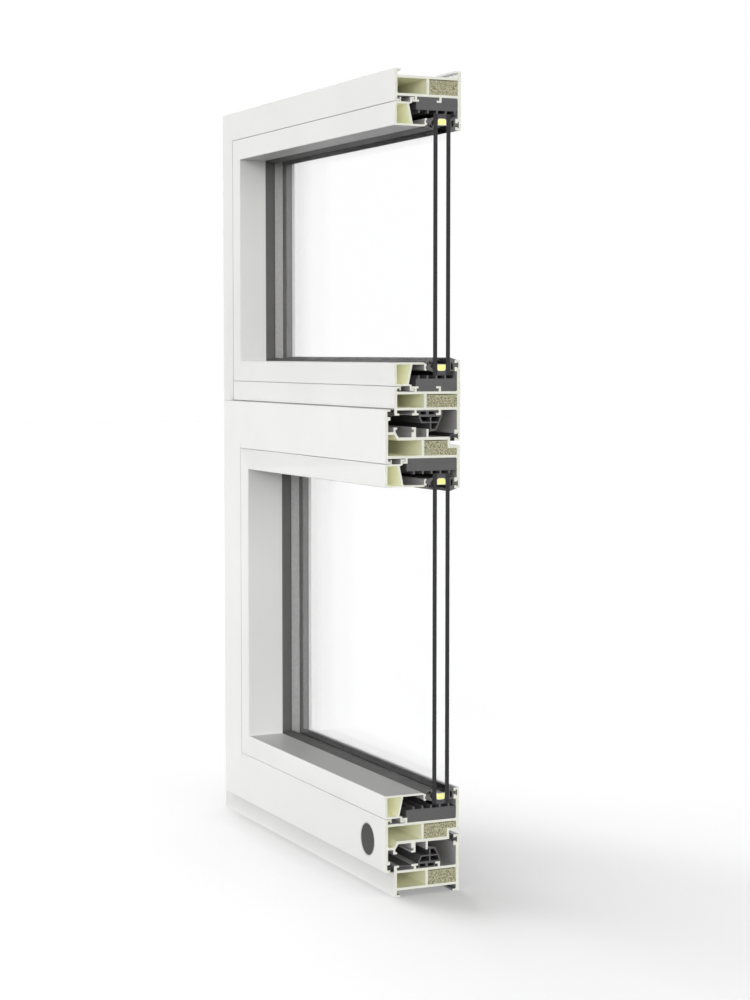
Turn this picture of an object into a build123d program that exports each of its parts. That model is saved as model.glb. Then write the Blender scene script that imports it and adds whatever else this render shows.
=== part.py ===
from build123d import *
import os
from collections import namedtuple

# Tilt and turn window sample: a fixed light over an inward-opening sash, cut through on its
# right side so that the sections show. Millimetres, +Z up, the room side faces -Y and the
# cut faces +X. The origin is on the floor, under the middle of the sample.
#
# Sections are drawn as (depth, level). Depth 0 is the room-side face of the frame and grows
# towards the weather side. Level 0 is the floor of a rebate, and grows into the light.

# Overall sizes
overall_width = 482.8
overall_height = 832.0
frame_depth = 73.5
transom_top = 512.2  # height of the fixed light's floor

# Walls of the frame, the transom and the sash
room_wall = 3.2
weather_wall = 3.5
web = 2.6
partition = 2.8

# Roundings of the sections
rebate_rounding = 1.6
chamber_rounding = 0.8
edge_rounding = 0.5
bead_rounding = 1.0

# Frame section
leg = 6.5  # legs towards the wall opening
leg_foot = 3.7  # turned-in foot of a leg, past its wall
foot_thickness = 1.9
frame_chamber = 15.2
frame_partition_depth = 36.8
transom_chamber = 13.4
transom_partition_depth = 34.4
lip = 5.2  # room-side lip and rails that stand on a rebate's floor
lip_hook = 2.4
hook_thickness = 2.0
clip_rail_depth = 22.4
seal_rail_depth = 49.5
rail_stem = 2.4
rail_arm = 2.9
rail_back_arm = 2.1
arm_thickness = 2.1

# Gasket groove at the end of a weather-side wall
upstand_past_bead = 2.4
jaw = 3.1  # jaw at the free end of the wall
jaw_root = 4.4  # jaw on the side of the rebate's floor
jaw_reach = 2.8
gasket_groove = 3.8  # mouth between the jaws
groove_recess = 1.3
groove_undercut = 1.2

# Sash section
sash_proud = 10.0
sash_rail = 49.2  # from the sash's edge to the floor of its rebate
sash_overlap = 6.1  # lap of the sash over the frame's lip
hardware_air = 12.0
hardware_groove = 10.0
groove_floor = 3.0
groove_lip = 4.1
groove_stem = 2.2
groove_front_depth = -0.8
groove_back_depth = 24.1
groove_boss = 4.9
groove_boss_drop = 4.9
shoulder_drop = 4.6
step_run = 3.5
seal_fin_depth = 35.8
seal_fin_drop = 1.8
sash_partition_depth = 31.9
outer_step_level = 36.9
lap_jaw = 2.2
lap_inner_jaw = 3.4
lap_groove = 5.4
lap_gap = 4.4  # from the sash's jaws to the frame's face
lap_recess = 0.8

# Glazing beads
bead_height = 23.5
joint_gap = 0.4
bead_wall = 2.0
bead_front_wall = 2.6
bead_top_depth = 15.9
bead_base_depth = 20.2
bead_end_wall = 1.5
bead_hook_height = 8.1
bead_hook_nib = 1.1
bead_slant = 2.4  # slanted end of a bead's base, under its gasket
side_gap = 1.1  # joint of the jamb with the beads and the transom beside it
bead_foot = 1.2
bead_foot_drop = 4.3
clip_wall = 2.0
clip_reach = 4.5
clip_clearance = 0.3

# Glass units
glass = 4.7
glass_cavity = 9.7
glass_edge = 16.1  # from a rebate's floor to the edge of the unit
edge_seal = 4.4
spacer_height = 6.9
spacer_wall = 0.5
spacer_rounding = 2.4

# Gaskets and seals
inner_gasket_room = 8.2  # from the end of a bead to the glass
outer_gasket_room = 5.2  # from the glass to the jaws of the gasket groove
outer_seal_room = 5.0  # from the sash's step to the jaws of the gasket groove
gasket_lip = 1.3
gasket_lap = 3.2
gasket_strand = 0.9  # thin walls of a gasket or a seal
gasket_fork = 3.8  # from a bead's hook to where the lips of the gasket part
gasket_upper_reach = 4.2
outer_gasket_tail = 2.6
seal_wall = 1.4
cover_thickness = 0.9
strip_clearance = 0.1

# Setting blocks and foam
block_height = 12.9
block_lap = 1.1  # lap of a block over the rail in front of it
block_clearance = 0.2
block_start = 34.0  # from the corner of a rebate to the end of a block
rib_count = 5
rib_width = 1.8
rib_spacing = 9.9
foam_gap = 0.9
foam_start = 45.0

# Round seat for a badge on the lower rail of the sash
seat_diameter = 35.6
seat_depth = 0.5
seat_from_cut = 43.1
seat_level = 26.0

# Levels and depths that follow from the sizes above
right = overall_width / 2
left = -overall_width / 2
face_y = (sash_proud - frame_depth) / 2
wall_face = frame_depth - weather_wall
frame_rail = leg + web + frame_chamber + web
transom_height = web + transom_chamber + web
bead_level = lip + joint_gap
bead_inner = bead_level + bead_height
upstand = bead_inner + upstand_past_bead
groove_end = upstand - jaw
groove_start = groove_end - gasket_groove
jaw_start = groove_start - jaw_root
jaw_face = wall_face - jaw_reach
sash_lap_level = lip - sash_overlap
sash_front = -sash_proud
sash_inner = sash_front + room_wall
nib_level = lip + hardware_air - sash_lap_level
floor_level = nib_level + hardware_groove
unit_depth = glass + glass_cavity + glass
glass_depth = jaw_face - outer_gasket_room - unit_depth
bead_end_depth = glass_depth - inner_gasket_room
outer_step_depth = jaw_face - outer_seal_room

Area = namedtuple("Area", "left top bottom")
frame_area = Area(left + frame_rail, overall_height - frame_rail, frame_rail)
fixed_area = Area(frame_area.left, frame_area.top, transom_top)
vent_area = Area(frame_area.left, transom_top - transom_height, frame_area.bottom)


def inset(area, distance):
    """The area that lies a distance inside another one."""
    return Area(area.left + distance, area.top - distance, area.bottom + distance)


sash_edge_area = inset(vent_area, sash_lap_level)
sash_area = inset(sash_edge_area, sash_rail)


def side_plane(side, area):
    """Sketch plane of a section: x is depth, y is level, and the normal runs along the piece."""
    if side == "top":
        return Plane((right, face_y, area.top), x_dir=(0, 1, 0), z_dir=(-1, 0, 0))
    if side == "bottom":
        return Plane((area.left, face_y, area.bottom), x_dir=(0, 1, 0), z_dir=(1, 0, 0))
    return Plane((area.left, face_y, area.top), x_dir=(0, 1, 0), z_dir=(0, 0, -1))


def mitre(area, corner):
    """Plane that halves a left-hand corner, with the top or bottom run on its positive side."""
    if corner == "top":
        return Plane((area.left, 0, area.top), x_dir=(0, 1, 0), z_dir=(1, 0, 1))
    return Plane((area.left, 0, area.bottom), x_dir=(0, 1, 0), z_dir=(1, 0, -1))


def round_corners(section, rounded):
    """Round corners of a section, each given as a radius and the points that take it."""
    for radius, points in rounded:
        picked = [v for v in section.vertices() if (round(v.X, 3), round(v.Y, 3)) in points]
        fillet(picked, radius)


def at(*points):
    """Points to round, to the precision that they are compared with."""
    return {(round(depth, 3), round(level, 3)) for depth, level in points}


def mitred_run(draw, side, area, rounded):
    """A section run along one side of an area, mitred at its left-hand corners."""
    span = area.top - area.bottom if side == "side" else right - area.left
    with BuildPart() as run:
        with BuildSketch(side_plane(side, area)) as section:
            draw()
            round_corners(section, rounded)
        extrude(amount=span + overall_width, both=True)
        for corner in ("top", "bottom"):
            if side == "side":
                split(bisect_by=mitre(area, corner), keep=Keep.BOTTOM)
            elif side == corner:
                split(bisect_by=mitre(area, corner), keep=Keep.TOP)
        split(bisect_by=Plane.YZ.offset(right), keep=Keep.BOTTOM)
    return run


def straight_run(draw, side, area, start, rounded=()):
    """A section run along the top or bottom of an area, from a distance past its corner."""
    with BuildPart() as run:
        with BuildSketch(side_plane(side, area)) as section:
            draw()
            round_corners(section, rounded)
        extrude(amount=right - area.left)
        split(bisect_by=Plane.YZ.offset(area.left + start), keep=Keep.TOP)
    return run


def ring(draw, area):
    """A section run along the top, the left side and the bottom of an area, in one piece."""
    with BuildPart() as loop:
        with BuildLine() as path:
            Polyline(
                (right, face_y, area.top),
                (area.left, face_y, area.top),
                (area.left, face_y, area.bottom),
                (right, face_y, area.bottom),
            )
        with BuildSketch(side_plane("top", area)):
            draw()
        sweep(path=path.line, transition=Transition.RIGHT)
    return loop


def mitred_ring(draw, area):
    """A section along the top, the left side and the bottom of an area, joined at its mitres."""
    with BuildPart() as loop:
        for side in ("top", "side", "bottom"):
            add(mitred_run(draw, side, area, ()).part)
    return loop


def save(piece, name):
    """Name a finished piece and write it."""
    piece.part.label = name
    export_step(piece.part, "parts/" + name + ".step")


# Pieces of sections


def bar(depth_0, depth_1, level_0, level_1, mode=Mode.ADD):
    """A straight wall of a section, between two depths and two levels."""
    with Locations(((depth_0 + depth_1) / 2, (level_0 + level_1) / 2)):
        Rectangle(depth_1 - depth_0, level_1 - level_0, mode=mode)


def corners(*points, mode=Mode.ADD):
    """A wall of a section with slanted sides."""
    Polygon(*points, align=None, mode=mode)


def front_lip(face):
    """Room-side lip of a rebate, with the hook that holds the foot of a bead."""
    inner = face + room_wall
    bar(face, inner, -web, lip)
    bar(inner, inner + lip_hook, lip - hook_thickness, lip)


def clip_rail(face, back_arm):
    """Rail that the clip of a bead snaps over."""
    stem = face + clip_rail_depth
    bar(stem, stem + rail_stem, 0, lip)
    bar(stem - rail_arm, stem + rail_stem + back_arm, lip - arm_thickness, lip)


def gasket_upstand():
    """Weather-side wall with the two jaws of a gasket groove at its end."""
    bar(wall_face, frame_depth, -web, upstand)
    bar(jaw_face, wall_face, jaw_start, groove_start)
    bar(jaw_face, wall_face, groove_end, upstand)
    recess_start = groove_start - groove_undercut
    recess_end = groove_end + groove_undercut
    bar(wall_face, wall_face + groove_recess, recess_start, recess_end, mode=Mode.SUBTRACT)


def frame_rebate():
    """What stands on the floor of a rebate of the frame or of the transom."""
    front_lip(0)
    clip_rail(0, rail_back_arm)
    bar(seal_rail_depth, seal_rail_depth + rail_stem, 0, lip)
    bar(seal_rail_depth - rail_arm, seal_rail_depth, lip - arm_thickness, lip)
    gasket_upstand()


def chamber_walls(floor, height, partition_middle):
    """Two webs, the outer walls and a partition around a pair of chambers below a floor level."""
    bottom = floor - 2 * web - height
    bar(0, frame_depth, bottom, floor)
    half = partition / 2
    bar(room_wall, partition_middle - half, bottom + web, floor - web, mode=Mode.SUBTRACT)
    bar(partition_middle + half, wall_face, bottom + web, floor - web, mode=Mode.SUBTRACT)


def frame_section():
    """Head, jamb and sill."""
    frame_rebate()
    chamber_walls(0, frame_chamber, frame_partition_depth)
    foot = -frame_rail
    bar(0, room_wall, foot, foot + leg)
    bar(room_wall, room_wall + leg_foot, foot, foot + foot_thickness)
    bar(wall_face, frame_depth, foot, foot + leg)
    bar(wall_face - leg_foot, wall_face, foot, foot + foot_thickness)


def transom_section():
    """Transom: a rebate above, and its mirror image below."""
    frame_rebate()
    mirror(about=Plane.XZ.offset(transom_height / 2))
    chamber_walls(0, transom_chamber, transom_partition_depth)


def sash_section():
    """Sash rails and stile, with levels from the edge of the sash."""
    jaw_tip = -lap_gap
    # Room-side leg with the groove of the lap seal
    bar(sash_front, sash_inner, 0, sash_rail + lip)
    bar(sash_inner, jaw_tip, 0, lap_jaw)
    bar(sash_inner, jaw_tip, lap_jaw + lap_groove, lap_jaw + lap_groove + lap_inner_jaw)
    bar(sash_inner - lap_recess, sash_inner, lap_jaw, lap_jaw + lap_groove, mode=Mode.SUBTRACT)
    # Shoulder, slanted step and floor of the hardware groove
    shoulder = nib_level + shoulder_drop
    step_start = groove_front_depth + groove_stem
    step_end = step_start + step_run
    floor_base = floor_level + groove_floor
    bar(sash_inner, step_start, shoulder, shoulder + web)
    corners(
        (step_start - web / 2, shoulder),
        (step_start, shoulder),
        (step_end, floor_level),
        (step_end, floor_base),
        (step_end - web / 2, floor_base),
        (step_start - web / 2, shoulder + web),
    )
    bar(step_end, outer_step_depth, floor_level, floor_base)
    # Nibs of the hardware groove and fin that meets the centre seal
    bar(groove_front_depth, groove_front_depth + groove_stem, nib_level, shoulder)
    bar(groove_front_depth, groove_front_depth + groove_lip, nib_level, nib_level + hook_thickness)
    bar(groove_back_depth - groove_stem, groove_back_depth, nib_level, floor_level)
    bar(groove_back_depth - groove_boss, groove_back_depth, nib_level, nib_level + hook_thickness)
    boss_level = nib_level + groove_boss_drop
    bar(groove_back_depth - groove_boss, groove_back_depth, boss_level, floor_level)
    bar(seal_fin_depth, seal_fin_depth + groove_stem, nib_level + seal_fin_drop, floor_level)
    # Step on the weather side, partition and floor of the glazing rebate
    bar(outer_step_depth - web, outer_step_depth, floor_level, outer_step_level + web)
    bar(outer_step_depth - web, frame_depth, outer_step_level, outer_step_level + web)
    bar(wall_face, frame_depth, outer_step_level, sash_rail)
    half = partition / 2
    bar(sash_partition_depth - half, sash_partition_depth + half, floor_level, sash_rail)
    bar(sash_front, frame_depth, sash_rail - web, sash_rail)
    # Glazing rebate
    with Locations((0, sash_rail)):
        sash_rebate()


def sash_rebate():
    """What stands on the floor of the sash's glazing rebate."""
    stem = sash_front + clip_rail_depth
    bar(sash_inner, sash_inner + lip_hook, lip - hook_thickness, lip)
    bar(stem, stem + rail_stem, 0, lip)
    bar(stem - rail_arm, stem + rail_stem, lip - arm_thickness, lip)
    gasket_upstand()


def bead_section(face):
    """Hollow glazing bead with a foot, a clip and a gasket hook."""
    top = bead_level
    base = bead_inner
    end = bead_end_depth
    clip_face = face + clip_rail_depth - rail_arm - clip_clearance
    outline = (
        (face, top),
        (clip_face, top),
        (clip_face, top + bead_wall / 2),
        (face + bead_top_depth, top + bead_wall),
        (face + bead_base_depth, base - bead_wall),
        (end - bead_slant, base - bead_wall),
        (end - bead_slant, base),
        (face, base),
    )
    corners(*outline)
    hollow_top = top + bead_wall
    hollow_base = base - bead_wall
    corners(
        (face + bead_front_wall, hollow_top),
        (face + bead_top_depth - bead_wall, hollow_top),
        (face + bead_base_depth - bead_wall, hollow_base),
        (face + bead_front_wall, hollow_base),
        mode=Mode.SUBTRACT,
    )
    # Foot behind the hook of the lip
    foot = face + room_wall + lip_hook + clip_clearance
    bar(foot, foot + bead_foot, top - bead_foot_drop, top)
    # Clip around the front arm of the clip rail
    clip_level = lip - arm_thickness - clip_clearance
    bar(clip_face - clip_wall, clip_face, clip_level - clip_wall, top + bead_wall / 2)
    bar(clip_face - clip_wall, clip_face - clip_wall + clip_reach, clip_level - clip_wall, clip_level)
    # Gasket hook
    hook = base - bead_hook_height
    nib = end + bead_hook_nib
    corners(
        (end - bead_slant, base - bead_wall),
        (end - bead_slant, base),
        (nib, base - bead_wall),
        (nib, base - 1.5 * bead_wall),
        (end, base - 2 * bead_wall),
        (end, hook + bead_wall),
        (nib, hook + bead_wall / 2),
        (nib, hook),
        (end - bead_end_wall / 2, hook),
        (end - bead_end_wall, hook + bead_wall / 2),
        (end - bead_end_wall, base - bead_wall),
    )


def inner_gasket_section():
    """Room-side gasket with a foot in the bead's hook and lips that part towards the glass."""
    end = bead_end_depth
    nib = end + bead_hook_nib
    base = bead_inner
    hook = base - bead_hook_height
    tip = glass_depth - strip_clearance
    fork = nib + gasket_fork
    fork_level = hook + gasket_upper_reach
    strand = gasket_strand
    corners(
        (end, hook + bead_wall),
        (nib, hook + bead_wall / 2),
        (nib, base - 1.5 * bead_wall),
        (end, base - 2 * bead_wall),
    )
    corners(
        (end - bead_slant, base),
        (nib, base - bead_wall),
        (nib, hook + bead_wall / 2),
        (tip, hook - gasket_lip),
        (tip, hook + strand),
        (fork + strand / 2, fork_level),
        (tip, base + gasket_lap - gasket_lip),
        (tip, base + gasket_lap),
        (end, base + strand),
    )
    bar(nib + strand, nib + 2 * strand, fork_level + strand, base + strand / 2, mode=Mode.SUBTRACT)
    corners(
        (fork - strand, fork_level + 2 * strand),
        (fork + strand / 2, fork_level + 2 * strand),
        (tip - 1.2 * strand, base + strand),
        (fork - strand, base + strand),
        mode=Mode.SUBTRACT,
    )


def groove_foot():
    """Foot of a gasket or seal that is pressed into a weather-side groove."""
    middle = (groove_start + groove_end) / 2
    head = gasket_groove / 2 + groove_undercut - strip_clearance
    bar(jaw_face, wall_face + groove_recess / 2, middle - seal_wall, middle + seal_wall)
    corners(
        (wall_face + strip_clearance, middle - head),
        (wall_face + groove_recess, middle - seal_wall),
        (wall_face + groove_recess, middle + seal_wall),
        (wall_face + strip_clearance, middle + head),
    )


def outer_gasket_section():
    """Weather-side gasket with a hollow body against the glass and a lip over the wall's end."""
    glass_face = glass_depth + unit_depth
    strand = gasket_strand
    cover = upstand + strip_clearance
    corners(
        (glass_face, jaw_start),
        (jaw_face, jaw_start),
        (jaw_face, cover),
        (wall_face, cover),
        (jaw_face, cover + strand),
        (glass_face, upstand + outer_gasket_tail),
    )
    corners(
        (glass_face + strand, jaw_start + 2 * strand),
        (jaw_face - 2 * strand, jaw_start + 2 * strand),
        (jaw_face - 2 * strand, groove_end - strand),
        (glass_face + strand, groove_end + strand),
        mode=Mode.SUBTRACT,
    )
    groove_foot()


def outer_seal_section():
    """Weather-side seal of the sash, in the frame's groove against the sash's step."""
    middle = (groove_start + groove_end) / 2
    strand = gasket_strand
    front = outer_step_depth
    back = jaw_face
    corners(
        (front, middle - strand),
        (back, groove_start - strand),
        (back, upstand),
        (front, upstand),
    )
    corners(
        (front + strand, middle + strand),
        (back - strand, groove_start + strand),
        (back - strand, middle + strand / 2),
        (front + strand, middle + 2 * strand),
        mode=Mode.SUBTRACT,
    )
    corners(
        (front + strand, middle + 3 * strand),
        (back - strand, middle + 1.5 * strand),
        (back - strand, upstand - strand),
        (front + strand, upstand - strand),
        mode=Mode.SUBTRACT,
    )
    groove_foot()


def lap_seal_section():
    """Room-side seal of the sash, in the sash's groove against the frame's face."""
    middle = lap_jaw + lap_groove / 2
    strand = gasket_strand
    front = -lap_gap
    low = lap_jaw + lap_groove
    corners(
        (front, strip_clearance),
        (0, strip_clearance),
        (0, middle + strand / 2),
        (front, low),
    )
    bar(front + strand, -strand, 1.2 * strand, lap_jaw + strand, mode=Mode.SUBTRACT)
    corners(
        (front + strand, lap_jaw + 2 * strand),
        (-strand, lap_jaw + 2 * strand),
        (front + strand, low - 1.8 * strand),
        mode=Mode.SUBTRACT,
    )
    # Barbed foot
    bar(sash_inner, front, middle - strand, middle + strand)
    corners(
        (sash_inner - lap_recess, lap_jaw + strip_clearance),
        (sash_inner + lap_recess, middle - strand),
        (sash_inner + lap_recess, middle + strand),
        (sash_inner - lap_recess, low - strip_clearance),
        (sash_inner, middle),
    )


def centre_seal_section():
    """Hollow centre seal, pushed between the two rails of the frame's rebate."""
    front = clip_rail_depth + rail_stem + block_clearance
    shoulder = front + rail_back_arm + block_clearance
    rail_front = seal_rail_depth - rail_arm - block_clearance
    rail_back = seal_rail_depth + rail_stem + block_clearance
    shelf = 2 * lip
    fin_back = seal_fin_depth + groove_stem
    tip = nib_level + seal_fin_drop + sash_lap_level
    crown = rail_back - lip
    spine = (shoulder + rail_back) / 2 + seal_wall
    deck = lip + block_clearance
    corners(
        (front, 0),
        (seal_rail_depth - block_clearance, 0),
        (seal_rail_depth - block_clearance, seal_wall),
        (rail_front, seal_wall),
        (rail_front, deck),
        (rail_back, deck),
        (rail_back, 0),
        (rail_back + seal_wall, 0),
        (rail_back + seal_wall, deck),
        (crown, tip + seal_wall),
        (fin_back + strip_clearance, tip + 2 * seal_wall),
        (fin_back + strip_clearance, tip + seal_wall),
        (spine - seal_wall, tip + seal_wall / 2),
        (spine - seal_wall, shelf + 2 * seal_wall),
        (shoulder + lip / 2, shelf + 2 * seal_wall),
        (shoulder, deck + seal_wall),
        (shoulder, seal_wall),
        (front, seal_wall),
    )
    # Small cells between the rails
    cell_middle = (shoulder + rail_front) / 2
    for cell_front, cell_back in (
        (shoulder + seal_wall, cell_middle - seal_wall),
        (cell_middle + seal_wall, rail_front - seal_wall),
    ):
        bar(cell_front, cell_back, seal_wall, lip - seal_wall / 2, mode=Mode.SUBTRACT)
    # Large cells of the fin
    cell_floor = deck + seal_wall
    corners(
        (shoulder + seal_wall, cell_floor),
        (spine - seal_wall, cell_floor),
        (spine - seal_wall, shelf + seal_wall),
        (shoulder + lip / 2 + seal_wall, shelf + seal_wall),
        mode=Mode.SUBTRACT,
    )
    corners(
        (spine, cell_floor),
        (rail_back - seal_wall, cell_floor),
        (rail_back - 2 * seal_wall, shelf + seal_wall),
        (spine, shelf + seal_wall),
        mode=Mode.SUBTRACT,
    )
    corners(
        (spine, shelf + 2 * seal_wall),
        (rail_back - 2.4 * seal_wall, shelf + 2 * seal_wall),
        (crown - seal_wall, tip),
        (spine, tip),
        mode=Mode.SUBTRACT,
    )


def cover_section():
    """Strip that closes the hardware side of the frame's rebate."""
    level = lip - (hook_thickness + cover_thickness) / 2
    bar(room_wall + lip_hook, clip_rail_depth - rail_arm, level, level + cover_thickness)


def spacer_outline(offset, mode=Mode.ADD):
    """Spacer bar between the panes, an offset inside its outside, rounded towards the unit's edge."""
    front = glass_depth + glass + offset
    back = front + glass_cavity - 2 * offset
    start = glass_edge + edge_seal + offset
    end = glass_edge + edge_seal + spacer_height - offset
    with BuildSketch(mode=Mode.PRIVATE) as outline:
        bar(front, back, start, end)
        round_corners(outline, ((spacer_rounding - offset, at((front, start), (back, start))),))
    add(outline.sketch, mode=mode)


def edge_seal_section():
    """Sealant between the panes, around the outer side of the spacer."""
    front = glass_depth + glass
    start = glass_edge + edge_seal
    bar(front, front + glass_cavity, glass_edge, start + spacer_rounding / 2)
    spacer_outline(0, mode=Mode.SUBTRACT)


def spacer_section():
    """Thin tube of the spacer bar."""
    spacer_outline(0)
    spacer_outline(spacer_wall, mode=Mode.SUBTRACT)


def desiccant_section():
    """Desiccant that fills the spacer bar."""
    spacer_outline(spacer_wall)


def block_section(front, feet):
    """Setting block on the rails of a rebate, with feet beside them and ribs under the glass."""
    back = wall_face - block_clearance
    bar(front, back, lip, block_height)
    for foot_front, foot_back, foot_top in feet:
        bar(foot_front, foot_back, 0, foot_top)
    with Locations(((front + back) / 2, (block_height + glass_edge) / 2)):
        with GridLocations(rib_spacing, 0, rib_count, 1):
            Rectangle(rib_width, glass_edge - block_height)


def frame_block_section():
    """Setting block of the fixed light."""
    rail_back = clip_rail_depth + rail_stem
    arm_back = rail_back + rail_back_arm + block_clearance
    arm_front = seal_rail_depth - rail_arm - block_clearance
    under_arm = lip - arm_thickness - block_clearance
    feet = (
        (rail_back + block_clearance, arm_back, under_arm),
        (arm_back, arm_front, lip),
        (arm_front, seal_rail_depth - block_clearance, under_arm),
        (seal_rail_depth + rail_stem + block_clearance, wall_face - block_clearance, lip),
    )
    block_section(rail_back - block_lap + block_clearance, feet)


def sash_block_section():
    """Setting block of the sash."""
    rail_back = sash_front + clip_rail_depth + rail_stem
    feet = ((rail_back + block_clearance, wall_face - block_clearance, lip),)
    block_section(rail_back - block_lap, feet)


def frame_foam(height, partition_middle, gap_side):
    """Foam in the weather-side chamber under a rebate's floor, short of the chamber's top."""
    bottom = -web - height
    top = -web
    if gap_side == "low":
        bottom += foam_gap
    else:
        top -= foam_gap
    bar(partition_middle + partition / 2, wall_face, bottom, top)


def sash_foam(gap_side):
    """Foam in the weather-side chambers of the sash, with levels from the sash's edge."""
    start = floor_level + groove_floor
    end = sash_rail - web
    gap_low = foam_gap if gap_side == "low" else 0
    gap_high = foam_gap - gap_low
    front = sash_partition_depth + partition / 2
    bar(front, outer_step_depth - web, start + gap_low, end - gap_high)
    bar(outer_step_depth - web, wall_face, outer_step_level + web, end - gap_high)


def chamber_corners(floor, height, partition_middle):
    """Corners of the room-side chamber under a floor level."""
    back = partition_middle - partition / 2
    top = floor - web
    return at((room_wall, top), (back, top), (room_wall, top - height), (back, top - height))


frame_rounded = (
    (rebate_rounding, at((wall_face, 0))),
    (chamber_rounding, chamber_corners(0, frame_chamber, frame_partition_depth)),
    (edge_rounding, at((0, lip), (0, -frame_rail), (frame_depth, -frame_rail), (frame_depth, upstand))),
)
transom_rounded = (
    (rebate_rounding, at((wall_face, 0), (wall_face, -transom_height))),
    (chamber_rounding, chamber_corners(0, transom_chamber, transom_partition_depth)),
    (edge_rounding, at((0, lip), (frame_depth, upstand))),
    (edge_rounding, at((0, -transom_height - lip), (frame_depth, -transom_height - upstand))),
)
sash_chamber_back = sash_partition_depth - partition / 2
sash_rounded = (
    (rebate_rounding, at((wall_face, sash_rail))),
    (chamber_rounding, at((sash_inner, sash_rail - web), (sash_chamber_back, sash_rail - web))),
    (chamber_rounding, at((sash_inner, nib_level + shoulder_drop + web))),
    (chamber_rounding, at((sash_chamber_back, floor_level + groove_floor))),
    (chamber_rounding, at((groove_back_depth, floor_level), (seal_fin_depth, floor_level))),
    (chamber_rounding, at((groove_back_depth - groove_boss, floor_level))),
    (chamber_rounding, at((outer_step_depth, outer_step_level), (frame_depth, outer_step_level))),
    (edge_rounding, at((sash_front, 0), (sash_front, sash_rail + lip))),
    (edge_rounding, at((frame_depth, sash_rail + upstand))),
)


def bead_rounded(face):
    """Roundings of a bead: its room-side edges and the corners of its hollow."""
    hollow_front = face + bead_front_wall
    hollow_top = bead_level + bead_wall
    hollow_base = bead_inner - bead_wall
    return (
        (bead_rounding, at((face, bead_inner))),
        (edge_rounding, at((face, bead_level))),
        (chamber_rounding, at((hollow_front, hollow_top), (hollow_front, hollow_base))),
        (chamber_rounding, at((face + bead_base_depth, hollow_base))),
    )


def bead_run(face, side, area):
    """A bead along one side of a light, with its face at a depth."""
    return mitred_run(lambda: bead_section(face), side, area, bead_rounded(face))


block_rounded = ((rebate_rounding + block_clearance, at((wall_face - block_clearance, 0))),)

os.makedirs("parts", exist_ok=True)

# Frame and sash members
for side, frame_name, sash_name in (
    ("top", "frame_head", "sash_top_rail"),
    ("side", "frame_jamb", "sash_stile"),
    ("bottom", "frame_sill", "sash_bottom_rail"),
):
    save(mitred_run(frame_section, side, frame_area, frame_rounded), frame_name)
    if side != "bottom":
        save(mitred_run(sash_section, side, sash_edge_area, sash_rounded), sash_name)

# Lower rail of the sash, with the seat for a badge
with BuildPart() as sash_bottom_rail:
    add(mitred_run(sash_section, "bottom", sash_edge_area, sash_rounded).part)
    with BuildSketch(Plane.XZ.offset(-(face_y + sash_front))):
        with Locations((right - seat_from_cut, sash_edge_area.bottom + seat_level)):
            Circle(seat_diameter / 2)
    extrude(amount=-seat_depth, mode=Mode.SUBTRACT)
save(sash_bottom_rail, "sash_bottom_rail")

# Transom, coped over the jamb's lip, rails and weather-side wall, with a joint beside the jamb
with BuildPart() as transom:
    with BuildSketch(side_plane("bottom", fixed_area)) as section:
        transom_section()
        round_corners(section, transom_rounded)
    extrude(amount=right - fixed_area.left)
    split(bisect_by=Plane.YZ.offset(fixed_area.left + lip), keep=Keep.TOP)
    with BuildSketch(side_plane("bottom", fixed_area)):
        bar(jaw_face, frame_depth, -transom_height - upstand, upstand)
    extrude(amount=upstand, mode=Mode.SUBTRACT)
    with BuildSketch(side_plane("bottom", fixed_area)):
        bar(0, bead_wall, -transom_height - lip, lip)
    extrude(amount=lip + side_gap, mode=Mode.SUBTRACT)
save(transom, "transom")

# Glazing beads. The one beside the jamb is set back from its lip, and the lower fixed bead
# stops its foot and clip short of the jamb's rails.
save(bead_run(0, "top", fixed_area), "fixed_bead_top")
with BuildPart() as fixed_bead_side:
    add(bead_run(0, "side", fixed_area).part)
    with BuildSketch(side_plane("side", fixed_area)):
        bar(0, bead_wall, lip, lip + side_gap)
    extrude(amount=fixed_area.top - fixed_area.bottom, mode=Mode.SUBTRACT)
save(fixed_bead_side, "fixed_bead_side")
with BuildPart() as fixed_bead_bottom:
    add(bead_run(0, "bottom", fixed_area).part)
    with BuildSketch(side_plane("bottom", fixed_area)):
        bar(0, frame_depth, 0, bead_level)
    extrude(amount=bead_level, mode=Mode.SUBTRACT)
save(fixed_bead_bottom, "fixed_bead_bottom")
for side in ("top", "side", "bottom"):
    save(bead_run(sash_front, side, sash_area), "sash_bead_" + side)

# Glass units with their spacers, sealant, desiccant and gaskets
for light, area in (("fixed", fixed_area), ("sash", sash_area)):
    unit = inset(area, glass_edge)
    for pane, depth in (("inner", glass_depth), ("outer", glass_depth + glass + glass_cavity)):
        with BuildPart() as sheet:
            with BuildSketch(Plane.XZ.offset(-(face_y + depth))):
                with Locations(((unit.left + right) / 2, (unit.top + unit.bottom) / 2)):
                    Rectangle(right - unit.left, unit.top - unit.bottom)
            extrude(amount=-glass)
        save(sheet, light + "_" + pane + "_pane")
    save(mitred_ring(spacer_section, area), light + "_spacer")
    save(mitred_ring(edge_seal_section, area), light + "_edge_seal")
    save(mitred_ring(desiccant_section, area), light + "_desiccant")
    save(ring(inner_gasket_section, area), light + "_inner_gasket")

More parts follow.
